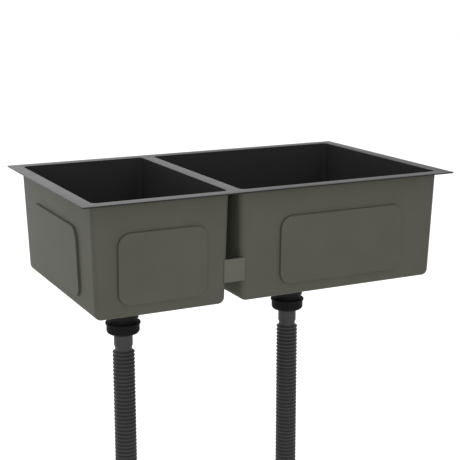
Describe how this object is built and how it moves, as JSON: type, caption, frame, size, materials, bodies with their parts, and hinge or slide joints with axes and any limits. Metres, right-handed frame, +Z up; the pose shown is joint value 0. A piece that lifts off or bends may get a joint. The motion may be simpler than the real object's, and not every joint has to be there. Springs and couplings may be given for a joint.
{
  "type": "double bowl kitchen sink",
  "caption": "Double bowl kitchen sink with a thin flat rim, coated bowls of unequal width, basket strainers and ribbed drain hoses.",
  "frame": {"origin": "middle of the rim's underside, the face that lies on the worktop", "axes": "+X along the rim from the small bowl to the large bowl, +Y to the back, +Z up"},
  "size_m": [0.78, 0.48, 0.8081],
  "materials": {
    "rim_steel": "satin grey plated",
    "bowl_black": "satin black",
    "sound_coat": "matt sprayed",
    "strap_coat": "matt sprayed",
    "pad_rubber": "matt",
    "gasket_rubber": "matt",
    "strainer_plastic": "moulded",
    "nut_plastic": "moulded",
    "hose_plastic": "moulded",
    "strainer_steel": "brushed"
  },
  "bodies": {
    "sink": {"rim_plate": "rim_steel", "left_bowl": "bowl_black", "right_bowl": "bowl_black", "left_front_pad": "pad_rubber", "left_side_pad": "pad_rubber", "left_back_pad": "pad_rubber", "right_front_pad": "pad_rubber", "right_side_pad": "pad_rubber", "right_back_pad": "pad_rubber", "left_coat": "sound_coat", "right_coat": "sound_coat", "front_strap": "strap_coat", "left_upper_gasket": "gasket_rubber", "right_upper_gasket": "gasket_rubber", "left_strainer_body": "strainer_plastic", "right_strainer_body": "strainer_plastic", "left_threaded_outlet": "strainer_plastic", "right_threaded_outlet": "strainer_plastic", "left_strainer_trim": "strainer_steel", "right_strainer_trim": "strainer_steel", "left_lower_gasket": "gasket_rubber", "right_lower_gasket": "gasket_rubber", "left_lock_nut": "nut_plastic", "right_lock_nut": "nut_plastic", "left_sealing_washer": "gasket_rubber", "right_sealing_washer": "gasket_rubber", "left_union_nut": "nut_plastic", "right_union_nut": "nut_plastic", "left_hose": "hose_plastic", "right_hose": "hose_plastic", "left_hose_connector": "nut_plastic", "right_hose_connector": "nut_plastic", "left_connector_ring": "gasket_rubber", "right_connector_ring": "gasket_rubber"},
    "left_basket": {"left_basket": "strainer_steel", "left_basket_seal": "gasket_rubber", "left_basket_post": "strainer_steel"},
    "right_basket": {"right_basket": "strainer_steel", "right_basket_seal": "gasket_rubber", "right_basket_post": "strainer_steel"}
  },
  "joints": [
    {"name": "left_basket_lift", "type": "slide", "parent": "sink", "child": "left_basket", "axis": [0, 0, 1], "range_m": [0, 0.28]},
    {"name": "right_basket_lift", "type": "slide", "parent": "sink", "child": "right_basket", "axis": [0, 0, 1], "range_m": [0, 0.28]}
  ]
}
